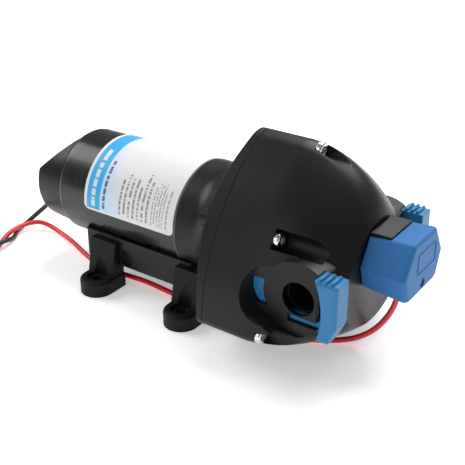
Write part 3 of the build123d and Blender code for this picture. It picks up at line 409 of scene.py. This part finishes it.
# %% Moulded plastic
def moulded(name, colour, rough, grain, depth, cloud, edge, scuff=0.0, gloss=0.5):
    """Satin moulded plastic: grain, cloudy gloss, softened edges and faint scuffs."""
    finish = Finish(name, specular_ior_level=gloss)
    clouds = finish.noise(cloud, detail=3.0)
    fine = finish.noise(grain, detail=1.0)
    tone = finish.level(clouds, 0.3, 0.7)
    darker = tuple(0.86 * part for part in colour)
    shade = finish.mix(tone, darker, colour)
    marks = finish.level(finish.noise(grain * 14, detail=4.0, rough=0.7), 0.66, 0.74) * scuff
    paler = tuple(min(1.0, part * 1.6 + 0.03) for part in colour)
    gloss_clouds = finish.level(clouds, 0.25, 0.75, start=rough - 0.05, end=rough + 0.06)
    finish.set(
        base_color=finish.mix(marks, shade, paler),
        roughness=gloss_clouds + marks * 0.12,
        normal=finish.bump(fine, depth, soft=finish.rounded(edge)),
    )
    return finish


black_shell = moulded(
    "black_shell", (0.0105, 0.0098, 0.0100), rough=0.34, grain=0.00028, depth=0.00003,
    cloud=0.022, edge=0.0006, scuff=0.25, gloss=0.22,
)
clip_blue = moulded(
    "clip_blue", (0.0225, 0.190, 0.415), rough=0.36, grain=0.00030, depth=0.00002,
    cloud=0.009, edge=0.0005, scuff=0.2, gloss=0.3,
)
cover_blue = moulded(
    "cover_blue", (0.040, 0.178, 0.440), rough=0.46, grain=0.00026, depth=0.00003,
    cloud=0.012, edge=0.0006, scuff=0.2, gloss=0.12,
)
white_moulding = moulded(
    "white_moulding", (0.74, 0.73, 0.69), rough=0.42, grain=0.0004, depth=0.00002,
    cloud=0.01, edge=0.0003,
)
print("plastics made")

# %% [markdown]
# The housing is two mouldings that meet at a flange, and a fine dark line shows where. The solids
# touch there with no gap, so the line is drawn in the finish: a narrow band across the motor's
# axis is darker, rougher and a little sunk. It is laid over what the plastic's recipe made.

# %% Flange seam
seam_x = 0.0525
seam_half_width = 0.00012
seam_fade_out = 0.00032
seam_depth = 0.0003
along = black_shell.parts(black_shell.place())[0]
seam = 1 - black_shell.level(abs(along - seam_x), seam_half_width, seam_fade_out)
black_shell.set(
    base_color=black_shell.mix(seam, black_shell.fed("Base Color"), (0.002, 0.002, 0.002)),
    roughness=black_shell.fed("Roughness") + seam * 0.4,
    normal=black_shell.bump(1 - seam, seam_depth, soft=black_shell.fed("Normal")),
)
print("seam at", seam_x)

# %% [markdown]
# The motor's can is drawn from steel and painted black. The paint is smoother than the plastic,
# with the slight waves that painters call orange peel, and a clear top layer. A coat on the shader
# gives that top layer by itself, so only the waves and a trace of dust need nodes.

# %% Can paint
can_paint = Finish("can_paint", specular_ior_level=0.4, coat_weight=0.12, coat_roughness=0.12)
peel = can_paint.noise(0.0016, detail=1.0)
can_dust = can_paint.noise(0.012, detail=4.0)
dusty = can_paint.level(can_dust, 0.45, 0.8)
can_paint.set(
    roughness=can_paint.level(can_dust, 0.3, 0.75, start=0.24, end=0.36),
    base_color=can_paint.mix(dusty, (0.008, 0.008, 0.0085), (0.014, 0.0135, 0.0135)),
    normal=can_paint.bump(peel, 0.00002, soft=can_paint.rounded(0.0005)),
)
print("can paint made")

# %% [markdown]
# The label is printed film wrapped over the top of the can. It has a white margin, a strong blue
# band along its rear edge, and a pale blue that fades to white, deeper near the lower edge. All
# three follow from where a point lies, so the print is a set of masks on the coordinates: no
# picture is needed, and it stays sharp at any size. Rows of short grey bars and one blue row fill
# the near side as plain ruling. Two fields say how far a point lies from the label's rear edge and
# from its lower edge, in millimetres, and every mask is built on those.

# %% Places on the label
label_rear_x = -0.040
label_lower_z = 0.0414
label = Finish("label", specular_ior_level=0.3)
label_x, label_y, label_z = label.parts(label.place())
from_rear = (label_x - label_rear_x) * 1000
height = (label_z - label_lower_z) * 1000
near_side = label_y < 0
print("label starts at", label_rear_x)


# %% Margin, band and fade
def between(field, low, high):
    """A mask that is 1 from low to high, with slightly soft ends."""
    soft = 0.06
    rising = field.finish.level(field, low - soft, low + soft)
    falling = field.finish.level(field, high - soft, high + soft)
    return rising * (1 - falling)


print_start, print_end = 1.8, 56.4
band_end = 10.6
inside = between(from_rear, print_start, print_end) * label.level(height, 1.0, 1.12)
band = between(from_rear, print_start, band_end)
fade_end = 26.0 - 0.36 * height
fade = inside * (1 - label.level(from_rear - fade_end, -9.0, 2.0))
print("print runs from", print_start, "to", print_end, "mm")

# %% Rows of bars
row_foot = 2.6
end_jump = 3.7
dash_jump = 5.3


def rows(start, pitch, count, stroke, longest, beat=1.15):
    """Rows of short bars with a ragged end; the jumps give each row its own part of the noise."""
    past_start = from_rear - start
    rank = past_start.maths("FLOOR", past_start / pitch)
    ragged = label.spread(rank * end_jump, 0.0)
    broken = label.spread(rank * dash_jump, height * beat)
    body = between(past_start % pitch, (pitch - stroke) / 2, (pitch + stroke) / 2)
    body = body * between(from_rear, start, start + count * pitch)
    end = longest * label.level(ragged, 0.3, 0.7, start=0.55, end=1.0)
    dashes = label.level(broken, 0.40, 0.46)
    return body * (height > row_foot) * (height < end) * dashes * near_side


broad_row = rows(start=2.9, pitch=6.4, count=1, stroke=2.5, longest=36.0, beat=0.7)
dark_row = rows(start=11.9, pitch=2.4, count=1, stroke=1.7, longest=32.0, beat=0.85)
rules = rows(start=22.4, pitch=2.9, count=7, stroke=1.3, longest=25.0)
fine_rules = rows(start=43.6, pitch=1.65, count=5, stroke=0.8, longest=26.0)
blue_rule = rows(start=52.6, pitch=1.9, count=1, stroke=0.9, longest=27.0)
print("rows of bars made")

# %% Label colours
tint = (0.72, 0.71, 0.70)
for mask, strength, ink in (
    (fade, 0.9, (0.47, 0.66, 0.92)),
    (band * inside, 1.0, (0.035, 0.37, 0.70)),
    (broad_row, 0.85, (0.70, 0.76, 0.80)),
    (dark_row, 0.9, (0.06, 0.08, 0.14)),
    (rules, 0.85, (0.16, 0.17, 0.19)),
    (fine_rules, 0.7, (0.22, 0.23, 0.26)),
    (blue_rule, 0.8, (0.05, 0.25, 0.55)),
):
    tint = label.mix(mask * strength, tint, ink)
film = label.noise(0.004, detail=3.0)
label.set(
    base_color=tint,
    roughness=label.level(film, 0.3, 0.7, start=0.38, end=0.46),
    normal=label.bump(film, 0.00002),
)
print("label printed")

# %% [markdown]
# The feet are soft rubber, dusty and matte, with the fine pits of a plain mould. Rubber has almost
# no clear highlight, so its roughness is high and its bump is coarser than the plastic's. Seals
# and grommets use the same recipe, a little smoother.


# %% Rubber
def rubber(name, colour, rough, grain):
    """Matte rubber with fine pits and a trace of pale dust in clouds."""
    finish = Finish(name, specular_ior_level=0.2)
    pits = finish.noise(grain, detail=3.0, rough=0.65)
    dust = finish.level(finish.noise(0.007, detail=5.0, rough=0.6), 0.5, 0.8) * 0.35
    paler = tuple(part * 1.5 + 0.02 for part in colour)
    finish.set(
        base_color=finish.mix(dust, colour, paler),
        roughness=rough + dust * 0.2,
        normal=finish.bump(pits, 0.00006, soft=finish.rounded(0.0007)),
    )
    return finish


foot_rubber = rubber("foot_rubber", (0.0050, 0.0050, 0.0052), rough=0.56, grain=0.0005)
seal_rubber = rubber("seal_rubber", (0.02, 0.02, 0.021), rough=0.48, grain=0.0004)
gasket = rubber("gasket", (0.10, 0.10, 0.095), rough=0.62, grain=0.0003)
print("rubbers made")

# %% [markdown]
# The screws are bright plated, with turning marks that only show as a slight unevenness in the
# shine. Inside, the shaft, bearings and cores are plain machined steel: the same recipe, duller.
# Brushed lines could follow each axis, but the inner pieces are seen only when the pump is opened
# up, so noise drawn out along X is enough for them.


# %% Metal
def metal(name, colour, rough, streak, stretch):
    """Machined or plated metal: streaks in the shine and a slight wave."""
    finish = Finish(name, metallic=1.0)
    stretched = finish.node(
        "ShaderNodeMapping", {}, {"Vector": finish.place(), "Scale": (1.0, stretch, stretch)}
    )
    streaks = finish.node(
        "ShaderNodeTexNoise", {}, {"Vector": stretched, "Scale": 1 / streak, "Detail": 4.0}
    )
    darker = tuple(0.78 * part for part in colour)
    finish.set(
        base_color=finish.mix(finish.level(streaks, 0.3, 0.7), darker, colour),
        roughness=finish.level(streaks, 0.25, 0.75, start=rough - 0.04, end=rough + 0.10),
        normal=finish.bump(streaks, 0.00001, soft=finish.rounded(0.0003)),
    )
    return finish


screw_plating = metal("screw_plating", (0.82, 0.82, 0.83), rough=0.12, streak=0.003, stretch=1.0)
plain_steel = metal("plain_steel", (0.50, 0.49, 0.48), rough=0.30, streak=0.006, stretch=8.0)
copper_wire = metal("copper_wire", (0.86, 0.42, 0.20), rough=0.24, streak=0.002, stretch=4.0)
print("metals made")

# %% [markdown]
# Ferrite magnets are pressed and fired, so they look like dark unglazed stone with small grains.
# Carbon brushes are duller and blacker. Both are close to the rubber in look but harder, so each
# is a short finish in which one noise with much detail gives the tone, the shine and the grain.


# %% Ferrite and carbon
def fired(name, pale, dark, rough, grain):
    """A pressed and fired surface with grains of two tones."""
    finish = Finish(name)
    grains = finish.noise(grain, detail=5.0, rough=0.7)
    finish.set(
        base_color=finish.mix(finish.level(grains, 0.35, 0.65), dark, pale),
        roughness=finish.level(grains, 0.3, 0.7, start=rough - 0.08, end=rough + 0.08),
        normal=finish.bump(grains, 0.00004, soft=finish.rounded(0.0003)),
    )
    return finish


ferrite = fired(
    "ferrite", pale=(0.075, 0.072, 0.07), dark=(0.035, 0.034, 0.034), rough=0.55, grain=0.0005
)
carbon = fired(
    "carbon", pale=(0.03, 0.03, 0.031), dark=(0.012, 0.012, 0.012), rough=0.5, grain=0.0003
)
print("ferrite and carbon made")


# %% [markdown]
# The wires' insulation is soft plastic with a slight shine. It is extruded, so it has almost no
# grain, only long faint waves and a little dirt. The red one is the supply, the black one the
# return.


# %% Wire insulation
def insulation(name, clean, soiled, rough):
    """Smooth extruded insulation with faint waves and a little dirt."""
    finish = Finish(name)
    waves = finish.noise(0.005)
    dirt = finish.level(finish.noise(0.0022, detail=5.0, rough=0.65), 0.52, 0.8) * 0.5
    finish.set(
        base_color=finish.mix(dirt, clean, soiled),
        roughness=finish.level(waves, 0.3, 0.7, start=rough - 0.05, end=rough + 0.05),
        normal=finish.bump(waves, 0.00006),
    )
    return finish


red_insulation = insulation(
    "red_insulation", clean=(0.74, 0.022, 0.045), soiled=(0.50, 0.014, 0.03), rough=0.32
)
black_insulation = insulation(
    "black_insulation", clean=(0.012, 0.012, 0.013), soiled=(0.02, 0.019, 0.018), rough=0.34
)
print("insulation made")

# %% [markdown]
# The floor is white card, matt all over, as under a product picture. The panels light only its
# middle well. More light would bleach the pump, so the card gives off a little light of its own
# and stays pale to the edge of the picture.

# %% White card
backdrop = Finish(
    "backdrop", base_color=(0.95, 0.95, 0.95), roughness=0.9, specular_ior_level=0.1,
    emission_color=(1.0, 1.0, 1.0), emission_strength=0.38,
)
floor.data.materials.append(backdrop.material)
print("floor wears", backdrop.material.name)

# %% [markdown]
# Each solid names the slot of the finish that it wears. The finishes made here stand for those
# slots, so one table gives every solid its material. The solids come in plain stand-in colours,
# which are cleared first.

# %% Give every solid its finish
wardrobe = {
    "housing_plastic": black_shell, "can_paint": can_paint, "label_film": label,
    "clip_plastic": clip_blue, "cover_plastic": cover_blue, "foot_rubber": foot_rubber,
    "seal_rubber": seal_rubber, "gasket_sheet": gasket, "screw_steel": screw_plating,
    "plain_steel": plain_steel, "magnet_ferrite": ferrite, "copper": copper_wire,
    "carbon": carbon, "white_plastic": white_moulding, "supply_insulation": red_insulation,
    "return_insulation": black_insulation,
}
for entry in frame["record"]["subparts"]:
    worn = solids[entry["node"]].data.materials
    worn.clear()
    worn.append(wardrobe[entry["material_slot"]].material)
for piece, slot in (
    (supply_wire, "supply_insulation"), (return_wire, "return_insulation"),
    (supply_strands, "copper"), (return_strands, "copper"),
):
    piece.data.materials.append(wardrobe[slot].material)
print("finishes", len(wardrobe))

# %% [markdown]
# Each blue clip has three low ridges on top of its tab, where a thumb pushes it. They run across
# the tab. A ridge is a round-backed bar: half an ellipse drawn out along Y, with its ends rounded
# over. The same section is set down at six places along the bar, smaller at the ends, and joined
# up. That keeps the faces even, and smooth shading does the rest.


# %% Raised bars
def bar_mesh(name, bars, sink):
    """Round-backed bars, each from one point to another with a half width and a rise."""
    shape = bmesh.new()
    for start, end, outward, half_width, rise in bars:
        start, end, outward = Vector(start), Vector(end), Vector(outward)
        onward = (end - start).normalized()
        aside = onward.cross(outward)
        span = (end - start).length
        rings = []
        for distance, size in (
            (0, 0.35), (0.25 * half_width, 0.75), (half_width, 1.0),
            (span - half_width, 1.0), (span - 0.25 * half_width, 0.75), (span, 0.35),
        ):
            centre = start + onward * distance
            ring = []
            for step in range(9):
                turn = pi * step / 8
                across = aside * (half_width * size * cos(turn))
                back = across + outward * (rise * size * sin(turn))
                ring.append(shape.verts.new(centre + back))
            for side in (-1, 1):
                across = aside * (half_width * size * side)
                ring.append(shape.verts.new(centre + across - outward * sink))
            rings.append(ring)
        for first, second in zip(rings, rings[1:]):
            for step in range(len(first)):
                after = (step + 1) % len(first)
                shape.faces.new((first[step], first[after], second[after], second[step]))
        shape.faces.new(rings[0])
        shape.faces.new(rings[-1][::-1])
    bmesh.ops.recalc_face_normals(shape, faces=shape.faces)
    mesh = bpy.data.meshes.new(name)
    shape.to_mesh(mesh)
    shape.free()
    return mesh


def new_piece(name, mesh, body, slot):
    """Put a smooth mesh in the scene, on a body, in a slot's finish."""
    piece = add_object(name, mesh)
    mesh.materials.append(wardrobe[slot].material)
    for face in mesh.polygons:
        face.use_smooth = True
    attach(piece, body)


# %% Ridges on the clips
ridge_places_x = (0.1086, 0.1115, 0.1144)
ridge_inner_y, ridge_outer_y = 0.0368, 0.0458
ridge_half_width = 0.00105
ridge_rise = 0.0014
for side_name, side in (("near", -1), ("far", 1)):
    clip_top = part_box(f"port_clip_{side_name}")[1].z
    low_y, high_y = sorted((side * ridge_inner_y, side * ridge_outer_y))
    ridges = [
        ((x, low_y, clip_top), (x, high_y, clip_top), (0, 0, 1), ridge_half_width, ridge_rise)
        for x in ridge_places_x
    ]
    mesh = bar_mesh(f"clip_ridges_{side_name}", ridges, sink=0.0004)
    new_piece(f"clip_ridges_{side_name}", mesh, f"{side_name}_clip", "clip_plastic")
    print(side_name, "clip top at", round(clip_top, 4))

# %% [markdown]
# The switch cover has a low bead on its front, laid out as a rectangle. Four bars as on the clips
# make it, thinner and lower, and they lie flat on the cover's front face.

# %% Bead on the cover
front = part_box("switch_cover")[1].x
left, right, bottom, top = -0.0068, 0.0112, 0.0484, 0.0582
corners = [(front, left, bottom), (front, right, bottom), (front, right, top), (front, left, top)]
bead_half_width = 0.00034
bead_rise = 0.0003
bead = [
    (corners[index], corners[(index + 1) % 4], (1, 0, 0), bead_half_width, bead_rise)
    for index in range(4)
]
new_piece("cover_frame", bar_mesh("cover_frame", bead, sink=0.0002), "pump", "cover_plastic")
print("bead on the face at", round(front, 4))
